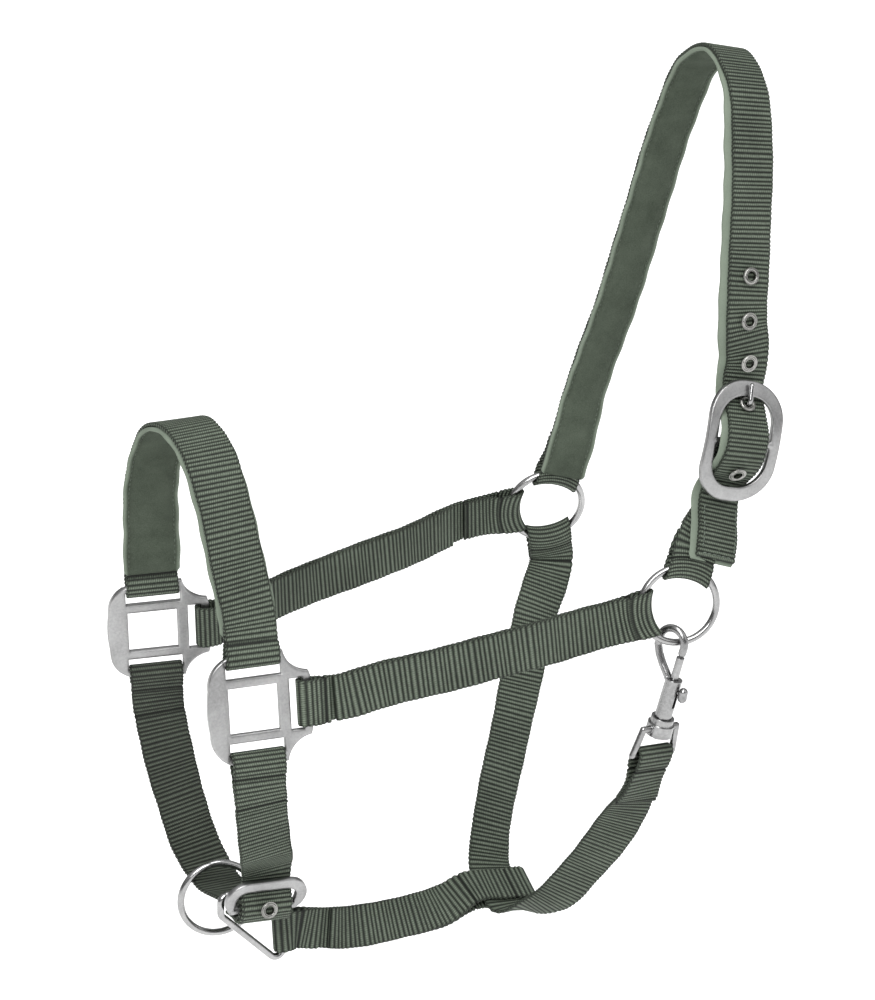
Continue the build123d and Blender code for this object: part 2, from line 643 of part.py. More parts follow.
# ---------------------------------------------------------------- write every node
def crown_eyelet_places():
    """One eyelet on the tongue, three above it and one below the buckle's bar."""
    first = length_at(crown, CROWN_BUCKLE.at(0, 20, -3.6))
    runs = [first - EYELET_PITCH * k for k in range(4)]
    runs.append(length_at(crown, CROWN_BUCKLE.at(0, -16.5, 0.2)))
    return [place_on(crown, run) for run in runs]


def chin_eyelet_place():
    """The eyelet shown in the buckle's window."""
    return place_on(near_chin, length_at(near_chin, CHIN_BUCKLE.at(0, 5, 6.0)))


def build():
    nodes = {}
    nodes["near_cheek_strap"], nodes["off_cheek_strap"] = cheek_straps()
    nodes["noseband_strap"] = noseband_strap()
    nose_length = noseband[-1].run
    nodes["noseband_padding"] = padding(
        noseband, NOSE_PAD_WIDTH, 12, nose_length - 12, BAR_END, BAR_END,
        (NOSE_TUCK, NOSE_TUCK), NOSE_TUCK + 1)
    crown_body = crown_strap()
    for place in crown_eyelet_places():
        crown_body = strap_with_hole(crown_body, place)
    nodes["crown_strap"] = crown_body
    buckle_run = length_at(crown, CROWN_BUCKLE.middle)
    nodes["crown_padding"] = padding(
        crown, CROWN_PAD_WIDTH, 8, buckle_run - 38, RING_END, None, (CROWN_TAIL, -12))
    tongue_slot = CROWN_BUCKLE.put(Box(4.4, 16, 16))
    nodes["buckle_strap"] = folded_strap(
        buckle_strap, WEB, RING_END, BUCKLE_END, 22, buckle_strap[-1].run - 24
    ) - tongue_slot
    nodes["near_chin_strap"] = strap_with_hole(near_chin_strap(), chin_eyelet_place())
    nodes["off_chin_strap"] = folded_strap(off_chin, NOSE_WEB, BAR_END, BUCKLE_END, 28, 40)
    nodes["jaw_strap"] = folded_strap(
        jaw, JAW_WEB, (WIRE_R + 0.6 + PLY / 2, 3.0), LOOP_END, 24, jaw[-1].run - 30)
    nodes["throat_strap"] = folded_strap(throat, WEB, RING_END, (3.4, 3.0), 24, 34)
    nodes["near_square"] = NEAR_SQUARE.put(square_fitting(1))
    nodes["off_square"] = OFF_SQUARE.put(square_fitting(-1))
    nodes["near_cheek_ring"] = ring(NEAR_RING)
    nodes["off_cheek_ring"] = ring(OFF_RING)
    nodes["chin_ring"] = ring(CHIN_RING)
    nodes["jaw_link"] = jaw_link()
    nodes["crown_buckle_frame"] = CROWN_BUCKLE.put(crown_buckle_frame())
    nodes["chin_buckle_frame"] = CHIN_BUCKLE.put(chin_buckle_frame())
    pin = [(3.4, 0.0), (16.9, -7.6), (22.2, 0.4), (31.0, -0.9)]
    nodes["crown_buckle_tongue"] = CROWN_BUCKLE.put(tongue(pin))
    nodes["crown_eyelets"] = Compound([p.put(eyelet()) for p in crown_eyelet_places()])
    nodes["chin_eyelet"] = chin_eyelet_place().put(eyelet())
    nodes["snap_body"] = SNAP.put(snap_body())
    nodes["snap_bolt"] = SNAP.put(snap_bolt())
    nodes["snap_spring"] = SNAP.put(snap_spring())
    nodes["snap_swivel_eye"] = EYE.put(snap_swivel())
    nodes["snap_rivet"] = SNAP.put(snap_rivet())
    return nodes


for name, shape in build().items():
    export_step(shape, f"parts/{name}.step")
    print(name, round(shape.volume), "mm3")
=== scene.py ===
"""Looks of the head halter: ribbed webbing, suede padding, stitching and satin metal."""

import math

import bpy
import numpy as np
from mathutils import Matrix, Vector


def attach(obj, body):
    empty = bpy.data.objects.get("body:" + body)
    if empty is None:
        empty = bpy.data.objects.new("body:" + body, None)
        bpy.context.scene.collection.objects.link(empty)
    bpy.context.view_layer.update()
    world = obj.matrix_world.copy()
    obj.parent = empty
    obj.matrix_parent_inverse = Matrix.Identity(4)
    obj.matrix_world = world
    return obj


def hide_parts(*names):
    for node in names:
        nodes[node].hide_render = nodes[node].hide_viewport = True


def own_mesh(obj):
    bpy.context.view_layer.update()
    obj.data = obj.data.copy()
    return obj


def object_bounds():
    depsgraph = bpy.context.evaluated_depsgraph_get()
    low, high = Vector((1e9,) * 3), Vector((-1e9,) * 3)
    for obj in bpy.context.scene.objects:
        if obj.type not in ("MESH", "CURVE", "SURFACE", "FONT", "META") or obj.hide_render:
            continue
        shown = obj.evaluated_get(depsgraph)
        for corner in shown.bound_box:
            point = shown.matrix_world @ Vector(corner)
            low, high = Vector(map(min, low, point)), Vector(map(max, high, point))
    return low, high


MM = 0.001

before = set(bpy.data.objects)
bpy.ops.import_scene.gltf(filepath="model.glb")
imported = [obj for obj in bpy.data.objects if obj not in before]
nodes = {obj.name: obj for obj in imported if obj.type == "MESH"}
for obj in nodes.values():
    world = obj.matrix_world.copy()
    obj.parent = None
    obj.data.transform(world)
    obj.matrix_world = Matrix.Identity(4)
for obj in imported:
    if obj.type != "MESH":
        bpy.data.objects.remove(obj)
cad_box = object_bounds()

# ---------------------------------------------------------------- driving sizes (mm)
WEB = 25.4              # width of the cheek, crown, throat and buckle webbing
NOSE_WEB = 29.0         # the same of the noseband and the chin straps
JAW_WEB = 23.4
PLY = 2.2               # thickness of the webbing
LAYER = 1.25            # half the spacing of two layers stitched together
LAYER_EASE = 12         # length over which the second layer's share fades
FOLD_EASE = 15          # length over which a layer comes in from a fold
RING_R = 21.0           # to the middle of the wire
WIRE_R = 2.0
RIB = 2.35              # from one rib of the webbing to the next
WIDE_RIB = 2.8          # the same on the coarser near cheek and jaw webbing
OFF_RIB = 2.5           # on the off cheek
NOSE_RIB = 2.55         # on the noseband
RIB_DEPTH = 0.42
THREAD = 1.2            # from one yarn of a rib to the next
SAMPLES_PER_RIB = 5
PAD = 3.4               # thickness of a pad
PAD_GAP = 0.3           # space between webbing and padding
NOSE_PAD_WIDTH = 31.0
NOSE_PAD_START = 12     # from the noseband's fold on a square to where its pad starts
CROWN_PAD_WIDTH = 26.4
CROWN_PAD_START = 8     # from the crown strap's fold on the off ring to the same
LINING = 1.2            # the padding where it thins to a lining, through the buckle
LINING_SHOWS = 3.0      # how far the lining stands out past the webbing on its front side
LINING_ABOVE = 48       # from where the padding starts to thin to the crown buckle's bar
LINING_EASE = 9         # length over which it thins
SHOW_EASE = 70          # length past the poll over which the lining comes to stand out

# Ends of straps: a fold's radius, and the straight length beside it
RING_FOLD = 16.3        # from a ring's middle to the middle of a fold on its wire
BUCKLE_BAR_R = 1.9
RING_END = (3.7, 6.0)
BAR_END = (4.1, 2.0)
BUCKLE_END = (BUCKLE_BAR_R + 0.3 + PLY / 2, 1.0)
LOOP_END = (3.4, 31.0)
LINK_END = (WIRE_R + 0.6 + PLY / 2, 3.0)
EYE_END = (3.4, 3.0)
OUTER_BAR = 27.8        # from a square's middle to the middle of its strap bars

# Lengths of the ends that are folded back and sewn down
CROWN_TAIL = 30
CHIN_TAIL = 28
OFF_CHIN_TAILS = (28, 40)
NEAR_CHEEK_TAIL = 13
OFF_CHEEK_TAIL = 34
BUCKLE_TAIL = 22
JAW_TAIL = 24
THROAT_TAILS = (24, 34)
SINGLE = -LAYER_EASE    # no second layer at this end
CHEEK_LAP = (2, 6)      # left open between the two ends of the near and off cheek's second layer
BUCKLE_LAP = 2          # the same on the buckle strap
JAW_LAP = 30            # from the link to the cut end of the jaw strap's looped layer
NOSE_TUCK = 20          # end of the noseband that is tucked inside it at each square
TUCK_EASE = 14          # length over which its pad comes back out to the webbing

LINK_Y = -10.0          # the jaw link's middle
SNAP_AXIS = Vector((0.2, -0.15, 0.968)).normalized()
SNAP_SIDE = Vector((0.467, -0.855, -0.229))
HOOK_MIDDLE = 64.5      # middle of the hook's bend: up the snap, and to its side
HOOK_OFFSET = -7.6
SNAP_RING_ANGLE = 260   # where the hook holds the near ring
SPRING = (26.6, 36.6)   # the spring's ends, up the snap from its eye
SPRING_R = 1.65
SPRING_WIRE_R = 0.4


class Fitting:
    """A place with its x, y and outward directions: a metal fitting's, or one on a strap."""

    def __init__(self, middle, normal, across):
        self.middle = Vector(middle)
        self.out = Vector(normal).normalized()
        across = Vector(across)
        self.x = (across - self.out * across.dot(self.out)).normalized()
        self.y = self.out.cross(self.x)

    def at(self, x, y, z=0.0):
        return self.middle + self.x * x + self.y * y + self.out * z


NEAR_SQUARE = Fitting((0, -66, 2.5), (-0.141, -0.986, 0.093), (0.99, -0.139, 0.022))
OFF_SQUARE = Fitting((-4, 66, 0.5), (-0.25, -0.94, -0.2), (0.96, -0.27, 0.043))
NEAR_RING = Fitting((240.5, -83, 27), (-0.22, -0.97, 0.07), (0.97, -0.22, 0))
OFF_RING = Fitting((242.5, 83, 29), (-0.22, -0.945, -0.24), (0.974, -0.227, 0))
CROWN_BUCKLE = Fitting((279.5, -79, 112.5), (0.024, -0.994, 0.097), (0.97, 0, -0.24))
CHIN_BUCKLE = Fitting((12.8, -42, -124.5), (-0.027, -0.91, -0.379), (0.997, 0, -0.07))
JAW_LOOP = Fitting((177.5, 7, -165.5), (0.1, -0.4, 0.91), (-0.99, 0, 0.1))


def on_ring(ring, degrees, radius):
    """A point of the ring's plane, by angle from the ring's x and by radius."""
    angle = math.radians(degrees)
    return ring.at(radius * math.cos(angle), radius * math.sin(angle))


def ring_tangent(ring, degrees):
    angle = math.radians(degrees)
    return ring.x * -math.sin(angle) + ring.y * math.cos(angle)


ring_wire = on_ring(NEAR_RING, SNAP_RING_ANGLE, RING_R)
snap_foot = ring_wire - SNAP_AXIS * HOOK_MIDDLE - SNAP_SIDE * HOOK_OFFSET
SNAP = Fitting(snap_foot, SNAP_SIDE.cross(SNAP_AXIS), SNAP_SIDE)
EYE_ACROSS = Vector((0.955, 0.28, -0.16))
EYE = Fitting(snap_foot, EYE_ACROSS.cross(SNAP_AXIS), EYE_ACROSS)


# ---------------------------------------------------------------- strap routes
def curve_through(points, gaps, steps):
    """Smooth points through given points, `steps` to a span. gaps are the spans' lengths."""
    p = np.array(points, float)
    gap = np.array(gaps)[:, None]
    slope = np.diff(p, axis=0) / gap
    shared = slope[:-1] * gap[1:] + slope[1:] * gap[:-1]
    tangent = np.vstack([slope[:1], shared / (gap[:-1] + gap[1:]), slope[-1:]])
    t = (np.arange(steps) / steps)[:, None]
    rise = t * t * (3 - 2 * t)
    out = []
    for i, length in enumerate(gaps):
        out.append(p[i] * (1 - rise) + p[i + 1] * rise
                   + tangent[i] * (t * (1 - t) ** 2 * length)
                   + tangent[i + 1] * (t * t * (t - 1) * length))
    return np.vstack(out + [p[-1:]])


def unit(v):
    return v / np.linalg.norm(v, axis=-1, keepdims=True)


def sampled(at, run, values):
    """Rows of `values`, given at the distances `run`, read off at the distances `at`."""
    return np.stack([np.interp(at, run, column) for column in values.T], axis=1)


def distances(points):
    """Distance along a line of points, at each point."""
    gaps = np.linalg.norm(np.diff(points, axis=0), axis=1)
    return np.concatenate([[0.0], np.cumsum(gaps)])


class Route:
    """Middle line of a strap, with the directions along, across and outward."""

    def __init__(self, stations, steps=24):
        places = [Vector(middle) for middle, _ in stations]
        gaps = [(b - a).length for a, b in zip(places, places[1:])]
        self.middle = curve_through(places, gaps, steps)
        across = curve_through([Vector(a).normalized() for _, a in stations], gaps, steps)
        self.along = unit(np.gradient(self.middle, axis=0))
        across = across - self.along * np.sum(across * self.along, axis=1, keepdims=True)
        self.across = unit(across)
        self.out = np.cross(self.along, self.across)
        self.run = distances(self.middle)
        self.length = self.run[-1]

    def run_near(self, point):
        """Distance along the strap to where it passes nearest a point."""
        gaps = np.linalg.norm(self.middle - np.array(tuple(point)), axis=1)
        return self.run[int(np.argmin(gaps))]

    def place(self, run):
        """The strap's own place at a distance along it, with x across."""
        k = int(np.searchsorted(self.run, run))
        return Fitting(self.middle[k], self.out[k], self.across[k])


def ring_end(ring, degrees, reach=18.0):
    """Stations of a strap end that leaves a ring square to its wire, in the ring's plane."""
    across = -ring_tangent(ring, degrees)
    radii = (RING_FOLD, RING_FOLD + reach / 2, RING_FOLD + reach)
    return [(on_ring(ring, degrees, radius), across) for radius in radii]


near_cheek = Route([
    (NEAR_SQUARE.at(OUTER_BAR, 0), NEAR_SQUARE.y),
    (NEAR_SQUARE.at(OUTER_BAR + 7, 0), NEAR_SQUARE.y),
    (NEAR_SQUARE.at(OUTER_BAR + 15, 0), NEAR_SQUARE.y),
    ((70, -76, 8), (0, 0.08, 1)),
    ((107, -79, 12), (-0.05, 0.08, 1)),
    ((152, -81, 17), (-0.12, 0.1, 1)),
] + ring_end(NEAR_RING, 191)[::-1])
off_cheek = Route([
    (OFF_SQUARE.at(OUTER_BAR, 0), OFF_SQUARE.y),
    (OFF_SQUARE.at(OUTER_BAR + 7, 0), OFF_SQUARE.y),
    (OFF_SQUARE.at(OUTER_BAR + 14, 0), OFF_SQUARE.y),
    ((66, 65, 7), (-0.06, -0.15, 1)),
    ((90, 71, 10), (-0.08, -0.1, 1)),
    ((149, 79.5, 18), (-0.12, -0.1, 1)),
] + ring_end(OFF_RING, 186)[::-1])
noseband = Route([
    (OFF_SQUARE.at(0, OUTER_BAR), OFF_SQUARE.x),
    (OFF_SQUARE.at(0, OUTER_BAR + 7), OFF_SQUARE.x),
    (OFF_SQUARE.at(0, OUTER_BAR + 14), OFF_SQUARE.x),
    ((-9, 55, 64), (0.99, -0.12, -0.03)),
    ((-11, 49.5, 88), (0.99, -0.03, -0.06)),
    ((-11, 40, 112), (0.99, 0, -0.07)),
    ((-10, 23, 132), (0.99, 0, -0.04)),
    ((-9, 0, 139.5), (1, 0, 0.03)),
    ((-8, -25, 132.5), (1, 0, 0.03)),
    ((-7, -43, 112), (1, -0.03, 0)),
    ((-4.5, -54, 82), (0.99, -0.08, 0)),
    (NEAR_SQUARE.at(0, OUTER_BAR + 15), NEAR_SQUARE.x),
    (NEAR_SQUARE.at(0, OUTER_BAR + 7), NEAR_SQUARE.x),
    (NEAR_SQUARE.at(0, OUTER_BAR), NEAR_SQUARE.x),
])
off_chin = Route([
    (OFF_SQUARE.at(0, -OUTER_BAR), -OFF_SQUARE.x),
    (OFF_SQUARE.at(0, -OUTER_BAR - 7), -OFF_SQUARE.x),
    (OFF_SQUARE.at(0, -OUTER_BAR - 14), -OFF_SQUARE.x),
    ((4, 68, -79), (-0.99, 0.05, 0)),
    ((8, 62, -103), (-0.99, 0, 0.02)),
    ((12, 53, -125), (-0.99, 0, 0.05)),
    ((14.5, 40, -136), (-0.99, 0, 0.08)),
    ((15.5, 26, -140), (-0.99, 0, 0.08)),
    ((18.5, 8, -141.5), (-0.97, 0, 0.22)),
    ((20, -10, -140.5), (-0.95, 0, 0.32)),
    (CHIN_BUCKLE.at(2.5, -12.5, -10.5), (-0.98, 0, 0.18)),
    (CHIN_BUCKLE.at(0.5, -6, -4.0), -CHIN_BUCKLE.x),
    (CHIN_BUCKLE.middle, -CHIN_BUCKLE.x),
])
near_chin = Route([
    (NEAR_SQUARE.at(0, -OUTER_BAR), NEAR_SQUARE.x),
    (NEAR_SQUARE.at(0, -OUTER_BAR - 7), NEAR_SQUARE.x),
    (NEAR_SQUARE.at(0, -OUTER_BAR - 14), NEAR_SQUARE.x),
    ((4, -66, -66), (1, -0.05, -0.02)),
    ((8, -60, -86), (1, 0, -0.05)),
    (CHIN_BUCKLE.at(0, 21, -4.8), CHIN_BUCKLE.x),
    (CHIN_BUCKLE.at(0, 14, -2.0), CHIN_BUCKLE.x),
    (CHIN_BUCKLE.at(0, 9.5, 2.8), CHIN_BUCKLE.x),
    (CHIN_BUCKLE.at(0, 5, 6.0), CHIN_BUCKLE.x),
    (CHIN_BUCKLE.at(0, 0.5, 6.8), CHIN_BUCKLE.x),
    (CHIN_BUCKLE.at(0.3, -4.8, 5.4), CHIN_BUCKLE.x),
    (CHIN_BUCKLE.at(1.0, -9.6, 0.8), CHIN_BUCKLE.x),
    (CHIN_BUCKLE.at(2.6, -16.2, -8.0), (0.99, 0, -0.15)),
    (CHIN_BUCKLE.at(3.8, -23.0, -17.2), (0.98, 0, -0.18)),
])
throat = Route(ring_end(OFF_RING, 279) + [
    ((232, 77, -38), (-0.93, 0.3, 0.24)),
    ((219, 67.5, -71), (-0.92, 0.2, 0.32)),
    ((205, 55, -101), (-0.93, 0.1, 0.36)),
    ((191, 42, -129), (-0.94, 0, 0.32)),
    ((183, 32, -146), (-0.96, 0, 0.25)),
    (JAW_LOOP.at(0, -16), JAW_LOOP.x),
    (JAW_LOOP.middle, JAW_LOOP.x),
    (JAW_LOOP.at(0, 16), JAW_LOOP.x),
    ((191, -24.5, -165), (-0.93, 0.1, 0.34)),
    ((206, -41, -140), (-0.92, 0.2, 0.36)),
    ((219, -59, -107), (-0.93, 0.2, 0.34)),
    (EYE.at(0, -15), -EYE.x),
    (EYE.at(0, -7), -EYE.x),
    (EYE.middle, -EYE.x),
])
jaw = Route([
    ((36.7, LINK_Y, -156.5), (-0.078, 0, 1)),
    ((43.2, LINK_Y, -156.2), (-0.078, 0, 1)),
    ((57, -8.6, -159.5), (0, 0.15, 1)),
    ((80, -4, -165.5), (0, 0.35, 0.94)),
    ((113, 1, -168.5), (0.02, 0.5, 0.87)),
    ((141, 5.5, -168.5), (0.06, 0.75, 0.66)),
    (JAW_LOOP.at(18, 0), -JAW_LOOP.y),
    (JAW_LOOP.middle, -JAW_LOOP.y),
    (JAW_LOOP.at(-15.5, 0), -JAW_LOOP.y),
])
crown = Route(ring_end(OFF_RING, 74) + [
    ((264.5, 81, 97), (0.97, 0, -0.24)),
    ((278.5, 71, 150), (0.97, 0, -0.24)),
    ((291, 59.5, 210), (0.97, 0, -0.24)),
    ((300.5, 46.5, 262), (0.97, 0, -0.24)),
    ((306, 28, 297), (0.97, 0, -0.24)),
    ((308, 0, 309.5), (0.97, 0, -0.24)),
    ((306, -28, 296), (0.97, 0, -0.24)),
    ((300.5, -46, 262), (0.97, 0, -0.24)),
    ((293.5, -58, 214), (0.97, 0, -0.24)),
    ((287.5, -67.5, 176), (0.97, 0, -0.24)),
    (CROWN_BUCKLE.at(-0.5, 42, -8.6), CROWN_BUCKLE.x),
    (CROWN_BUCKLE.at(0, 31, -9.4), CROWN_BUCKLE.x),
    (CROWN_BUCKLE.at(0, 25.5, -8.0), CROWN_BUCKLE.x),
    (CROWN_BUCKLE.at(0, 20, -3.6), CROWN_BUCKLE.x),
    (CROWN_BUCKLE.at(0, 13, 2.2), CROWN_BUCKLE.x),
    (CROWN_BUCKLE.at(0, 6, 6.0), CROWN_BUCKLE.x),
    (CROWN_BUCKLE.at(0, 0, 6.8), CROWN_BUCKLE.x),
    (CROWN_BUCKLE.at(0, -8, 5.4), CROWN_BUCKLE.x),
    (CROWN_BUCKLE.at(0, -16.5, 0.2), CROWN_BUCKLE.x),
    (CROWN_BUCKLE.at(-0.8, -23.5, -6.6), (0.96, 0, -0.27)),
    (CROWN_BUCKLE.at(-1.6, -32, -9.2), (0.955, 0, -0.29)),
    (CROWN_BUCKLE.at(-2.4, -40, -6.4), (0.95, 0, -0.31)),
    (CROWN_BUCKLE.at(-3.6, -50, -0.6), (0.94, 0, -0.34)),
    (CROWN_BUCKLE.at(-5.4, -66, 5.0), (0.93, 0, -0.37)),
])
buckle_web = Route(ring_end(NEAR_RING, 74, 15.0) + [
    (CROWN_BUCKLE.at(-2.6, -41, -12.0), (0.94, 0, -0.33)),
    (CROWN_BUCKLE.at(-0.8, -29, -14.0), (0.955, 0, -0.29)),
    (CROWN_BUCKLE.at(0, -16, -9.6), CROWN_BUCKLE.x),
    (CROWN_BUCKLE.middle, CROWN_BUCKLE.x),
])


# ---------------------------------------------------------------- webbing shape
def ease(t):
    """0 to 1, smoothly, held at the ends."""
    t = np.clip(t, 0.0, 1.0)
    return t * t * (3 - 2 * t)


def stand_off(route, run, start, end, doubled):
    """How far a layer stands from the strap's middle line at a distance along it.

    start and end are a fold's radius and the straight length beside it, and doubled how far the
    strap is double from each end: SINGLE where an end is free.
    """
    rest = route.length - run
    second = np.maximum(ease((doubled[0] + LAYER_EASE - run) / LAYER_EASE),
                        ease((doubled[1] + LAYER_EASE - rest) / LAYER_EASE))
    offset = LAYER * second
    for folded_end, from_end in ((start, run), (end, rest)):
        if folded_end:
            radius, straight = folded_end
            share = ease((from_end - straight) / FOLD_EASE)
            offset = np.maximum(offset, radius + (LAYER - radius) * share)
    return offset


CUP_REACH = 22.0        # how far from a ring the webbing still bows round its wire
CUP_R = RING_R + 0.2
CUP_SHARE = 0.8         # share of the wire's own curve that the webbing takes up
SEAM_HALF = 0.8         # a sewn row across the webbing: half its width, and how deep it sinks
SEAM_DEPTH = 0.5
SELVEDGE = 2.0          # width of the webbing's woven border
WAVY_EDGE = 1.6         # width along each edge that wavers with the ribs
END_TAPER = 0.8         # length over which a cut end thins


class Path:
    """Sections of a ribbon: middle, outward, across, pull and distance along the route.

    pull is what bows a ring fold. distance is out of the route's range in a fold.
    """

    def __init__(self, middle, out, across, pull, distance):
        self.parts = [middle, out, across, pull, distance.reshape(-1, 1)]

    def __add__(self, other):
        return Path(*[np.vstack(pair) for pair in zip(self.parts, other.parts)])

    def reverse(self):
        return Path(*[part[::-1] for part in self.parts])


def pull_of(route, run, at_start, at_end):
    """Direction and share of the bow at each section, away from the ring that it folds on."""
    pull = np.zeros((len(run), 3))
    if at_start:
        pull += route.along[0] * ease(1 - run / CUP_REACH)[:, None]
    if at_end:
        pull -= route.along[-1] * ease(1 - (route.length - run) / CUP_REACH)[:, None]
    return pull


def layer(route, side, low, high, start=None, end=None, doubled=(0, 0)):
    """Sections of one layer between two distances: side +1 is outward, -1 inward."""
    keep = (route.run >= low) & (route.run <= high)
    run = route.run[keep]
    offset = stand_off(route, run, start, end, doubled)[:, None]
    pull = pull_of(route, run, start == RING_END, end == RING_END)
    out = route.out[keep] * side
    return Path(route.middle[keep] + out * offset, out, route.across[keep], pull, run)


def fold(route, at_end, radius, side, ring=False, arcs=18):
    """Sections of the half turn from the `side` layer to the other one."""
    k = -1 if at_end else 0
    towards = 1 if at_end else -1
    angle = np.pi * np.arange(1, arcs) / arcs
    out = (route.out[k] * side * np.cos(angle)[:, None]
           + route.along[k] * towards * np.sin(angle)[:, None])
    count = len(angle)
    pull = -route.along[k] * towards * (1.0 if ring else 0.0)
    beyond = route.run[k] + towards * radius * (1 + np.sin(angle))
    return Path(route.middle[k] + out * radius, out, np.repeat([route.across[k]], count, 0),
                np.repeat([pull], count, 0), beyond)


def folded(route, start, end, tail_start, tail_end, outer_through=False):
    """A strap folded back at both ends. One layer runs the whole length."""
    side = 1 if outer_through else -1
    doubled = (tail_start, tail_end)
    head = layer(route, -side, 0, tail_start, start, end, doubled).reverse()
    through = layer(route, side, 0, route.length, start, end, doubled)
    foot = layer(route, -side, route.length - tail_end, route.length, start, end, doubled)
    return (head + fold(route, False, start[0], -side, start == RING_END) + through
            + fold(route, True, end[0], side, end == RING_END) + foot.reverse())


def resample(path, spacing):
    """Sections at even distances along a ribbon."""
    run = distances(path.parts[0])
    even = np.linspace(0, run[-1], max(int(round(run[-1] / spacing)), 2) + 1)
    middle, out, across, pull, distance = [sampled(even, run, part) for part in path.parts]
    return even, middle, unit(out), unit(across), pull, distance[:, 0]


def mesh_piece(name, vertices, faces, uvs=()):
    """A smooth mesh object from points in millimetres. uvs are (layer name, uv per vertex)."""
    mesh = bpy.data.meshes.new(name)
    mesh.from_pydata((np.asarray(vertices) * MM).tolist(), [], faces)
    mesh.polygons.foreach_set("use_smooth", [True] * len(mesh.polygons))
    corner = np.empty(len(mesh.loops), int)
    mesh.loops.foreach_get("vertex_index", corner)
    for layer_name, uv in uvs:
        uv_layer = mesh.uv_layers.new(name=layer_name)
        uv_layer.data.foreach_set("uv", np.asarray(uv)[corner].ravel())
    mesh.update()
    piece = bpy.data.objects.new(name, mesh)
    bpy.context.scene.collection.objects.link(piece)
    return piece


def tube_faces(rings, count):
    """Quads of a closed tube of sections, and its two end caps."""
    faces = []
    for i in range(rings - 1):
        a, b = i * count, (i + 1) * count
        for j in range(count):
            k = (j + 1) % count
            faces.append((a + j, a + k, b + k, b + j))
    faces.append(tuple(range(count - 1, -1, -1)))
    last = (rings - 1) * count
    faces.append(tuple(range(last, last + count)))
    return faces


def tube_points(middle, out, across, lateral, height):
    """Points of a tube from each section's distances across and outward, a row to a section."""
    points = middle[:, None, :] + across[:, None, :] * lateral[:, :, None]
    return points + out[:, None, :] * height[:, :, None]


def tube_uv(u, v):
    """One uv per point of a tube. Each of u and v is given along it, around it or both."""
    return np.stack(np.broadcast_arrays(u, v), axis=2).reshape(-1, 2)


def rib_phase(run, rib):
    """Ribs passed so far: their spacing wanders a little, as woven ribs do."""
    return run / rib + 0.16 * np.sin(run * 0.19) + 0.09 * np.sin(run * 0.57 + 1.0)


def rib_height(phase):
    """1 on the crown of a rib of the weave, 0 in the gap between two."""
    return np.abs(np.sin(np.pi * phase)) ** 0.7


def web_section(width):
    """Outline of the webbing: across in mm, and height from -1 to 1."""
    half = width / 2
    flat = np.linspace(-half + 0.9, half - 0.9, 13)
    points = [(v, 1.0) for v in flat]
    points += [(half - 0.25, 0.78), (half, 0.0), (half - 0.25, -0.78)]
    points += [(v, -1.0) for v in flat[::-1]]
    points += [(-half + 0.25, -0.78), (-half, 0.0), (-half + 0.25, 0.78)]
    return np.array(points)


def webbing(name, path, width, node, rib=RIB, seams=(), material="webbing"):
    """Ribbed webbing along a path, as one piece.

    rib is the spacing of its ribs. seams are route distances where stitching sinks in.
    """
    run, middle, out, across, pull, distance = resample(path, rib / SAMPLES_PER_RIB)
    section = web_section(width)
    v, h = section[:, 0], section[:, 1]
    phase = rib_phase(run, rib)
    height = rib_height(phase)
    thick = PLY / 2 - RIB_DEPTH * (1 - height)
    sunk = np.zeros(len(run))
    for seam in seams:
        sunk = np.maximum(sunk, np.exp(-(((distance - seam) / SEAM_HALF) ** 2)))
    thick = thick - SEAM_DEPTH * sunk
    from_end = np.minimum(run, run[-1] - run)
    taper = ease(0.35 + from_end / END_TAPER)
    thick = thick * taper
    edge = np.clip((np.abs(v) - width / 2 + WAVY_EDGE) / WAVY_EDGE, 0, 1)
    wander = 0.22 * np.sin(run * 0.11 + width) + 0.12 * np.sin(run * 0.37)
    wave = (0.6 * (height - 1) - 0.5 * sunk)[:, None] * edge * np.sign(v)
    lateral = v[None, :] + wave + (wander[:, None] * edge * np.sign(v))
    rim = np.sqrt(np.maximum(CUP_R**2 - v**2, 0))
    bow = CUP_SHARE * (rim - math.sqrt(CUP_R**2 - (width / 2) ** 2))
    points = tube_points(middle, out, across, lateral, thick[:, None] * h[None, :])
    points = points + pull[:, None, :] * bow[None, :, None]
    inward = np.clip((width / 2 - np.abs(v)) / SELVEDGE, 0, 1)
    # The border layer also carries where a seam sinks, which the material darkens as painted
    # shade.
    uvs = [("weave", tube_uv(phase[:, None], v[None, :] / THREAD)),
           ("border", tube_uv(inward[None, :], sunk[:, None]))]
    piece = mesh_piece(name, points.reshape(-1, 3), tube_faces(len(run), len(v)), uvs)
    piece.data.materials.append(MATERIALS[material])
    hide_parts(node)
    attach(piece, "halter")
    return piece


# ---------------------------------------------------------------- stitching
STITCH = 2.3            # one stitch, and from one to the next
STITCH_PITCH = 3.1
STITCH_R = 0.38
STITCH_SIDES = 6
ROW_STEP = 0.4          # between the points that a sewn row is laid on


def edge_row(route, side, v, low, high, depth):
    """Points and outward directions of a sewn row along a strap, `v` across it.

    depth is how far the row stands from the strap's middle line, as a number or as a function
    of the distance along it.
    """
    run = np.arange(low, high, ROW_STEP)
    out = unit(sampled(run, route.run, route.out)) * side
    across = unit(sampled(run, route.run, route.across))
    if callable(depth):
        depth = depth(run)[:, None]
    return sampled(run, route.run, route.middle) + across * v + out * depth, out


def cross_row(route, side, run, half, depth):
    """Points and outward directions of a sewn row straight across a strap."""
    place = route.place(run)
    v = np.arange(-half, half, ROW_STEP)[:, None]
    across, out = np.array(place.x), np.array(place.out) * side
    return np.array(place.middle) + across * v + out * depth, np.repeat([out], len(v), 0)


